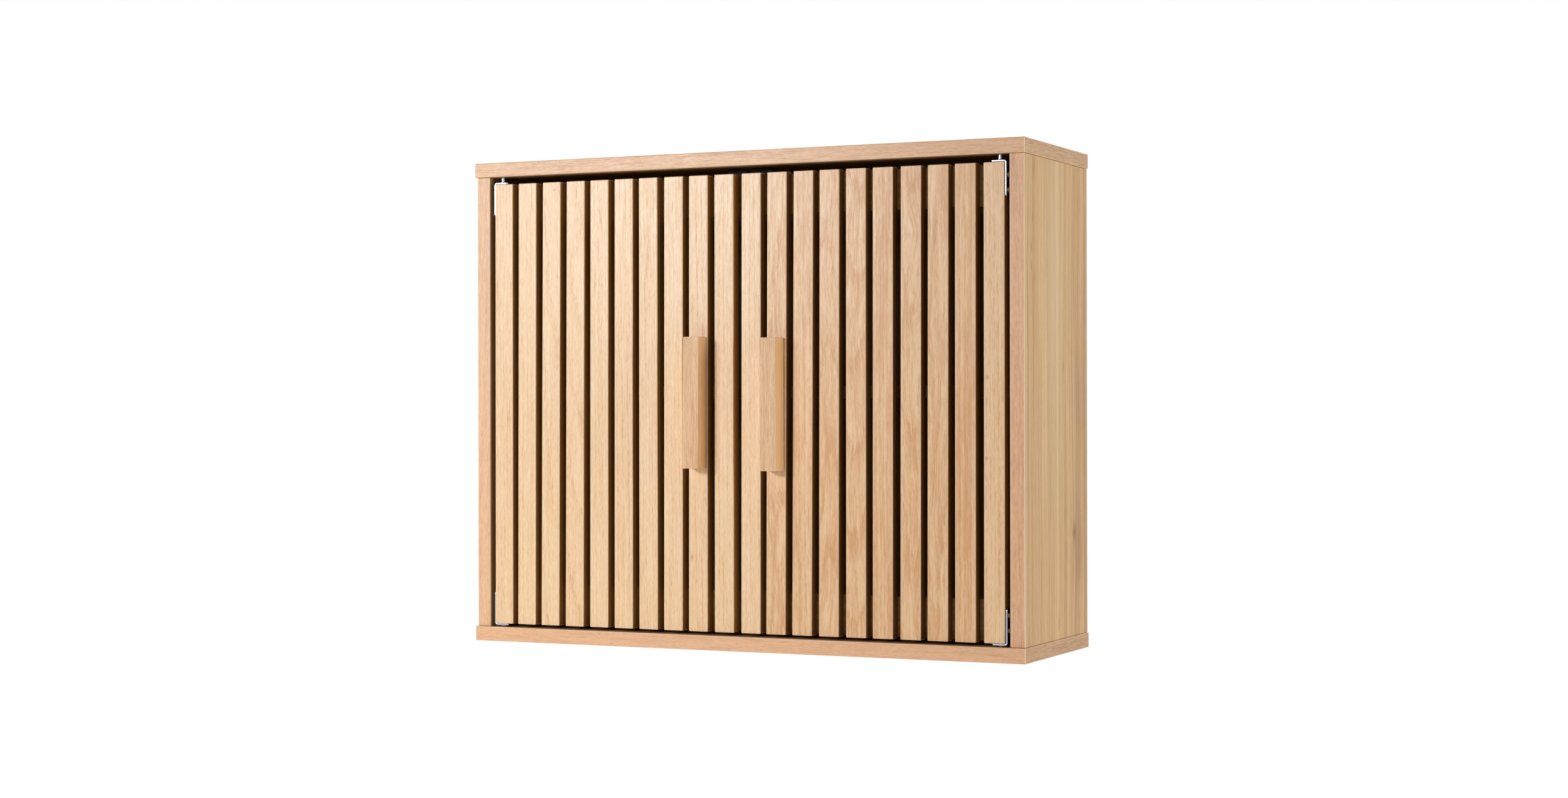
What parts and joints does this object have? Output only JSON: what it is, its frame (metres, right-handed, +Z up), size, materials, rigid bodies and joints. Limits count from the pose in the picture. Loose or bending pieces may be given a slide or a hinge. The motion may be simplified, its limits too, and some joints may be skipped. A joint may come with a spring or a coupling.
{
  "type": "bathroom wall cabinet",
  "caption": "Wall-hung bathroom cabinet in pale oak with slatted hinged doors, wooden bar handles, a movable shelf and keyhole hangers at the back.",
  "frame": {"origin": "on the wall plane at the back of the back rail, midway between the seats of the two wall screws", "axes": "+X to the right as seen from the front, +Y from the front into the wall, +Z up"},
  "size_m": [0.61, 0.2053, 0.5],
  "materials": {
    "oak_board": "pale oak veneer on board, matt lacquer",
    "oak_slat": "pale oak, matt lacquer, with eased edges",
    "oak_handle": "pale oak, matt lacquer, with eased edges",
    "rail_wood": "oak in the shade behind the slats, matt lacquer",
    "back_board": "thin fibreboard with an oak print",
    "steel": "bright zinc plate",
    "hanger_steel": "dull zinc plate",
    "catch_plastic": "dark brown moulded plastic",
    "magnet": "dark ferrite with ground faces"
  },
  "bodies": {
    "cabinet": {"top_panel": "oak_board", "bottom_panel": "oak_board", "left_side_panel": "oak_board", "right_side_panel": "oak_board", "back_panel": "back_board", "shelf": "oak_board", "shelf_pin_left_front": "steel", "shelf_pin_left_back": "steel", "shelf_pin_right_front": "steel", "shelf_pin_right_back": "steel", "back_rail": "rail_wood", "hanger_bracket_left": "hanger_steel", "hanger_bracket_right": "hanger_steel", "catch_housing": "catch_plastic", "catch_magnet_left": "magnet", "catch_magnet_right": "magnet"},
    "left_door": {"left_slat_01": "oak_slat", "left_slat_02": "oak_slat", "left_slat_03": "oak_slat", "left_slat_04": "oak_slat", "left_slat_05": "oak_slat", "left_slat_06": "oak_slat", "left_slat_07": "oak_slat", "left_slat_08": "oak_slat", "left_slat_09": "oak_slat", "left_slat_10": "oak_slat", "left_top_rail": "rail_wood", "left_bottom_rail": "rail_wood", "left_handle": "oak_handle", "left_top_bracket": "steel", "left_bottom_bracket": "steel", "left_top_pin": "steel", "left_bottom_pin": "steel", "left_top_screw_1": "steel", "left_top_screw_2": "steel", "left_bottom_screw_1": "steel", "left_bottom_screw_2": "steel", "left_strike_plate": "steel"},
    "right_door": {"right_slat_01": "oak_slat", "right_slat_02": "oak_slat", "right_slat_03": "oak_slat", "right_slat_04": "oak_slat", "right_slat_05": "oak_slat", "right_slat_06": "oak_slat", "right_slat_07": "oak_slat", "right_slat_08": "oak_slat", "right_slat_09": "oak_slat", "right_slat_10": "oak_slat", "right_top_rail": "rail_wood", "right_bottom_rail": "rail_wood", "right_handle": "oak_handle", "right_top_bracket": "steel", "right_bottom_bracket": "steel", "right_top_pin": "steel", "right_bottom_pin": "steel", "right_top_screw_1": "steel", "right_top_screw_2": "steel", "right_bottom_screw_1": "steel", "right_bottom_screw_2": "steel", "right_strike_plate": "steel"}
  },
  "joints": [
    {"name": "left_door_hinge", "type": "hinge", "parent": "cabinet", "child": "left_door", "pos_m": [-0.2767, -0.1795, -0.20685], "axis": [0, 0, -1], "range_deg": [0, 110]},
    {"name": "right_door_hinge", "type": "hinge", "parent": "cabinet", "child": "right_door", "pos_m": [0.2767, -0.1795, -0.20685], "axis": [0, 0, 1], "range_deg": [0, 110]}
  ]
}
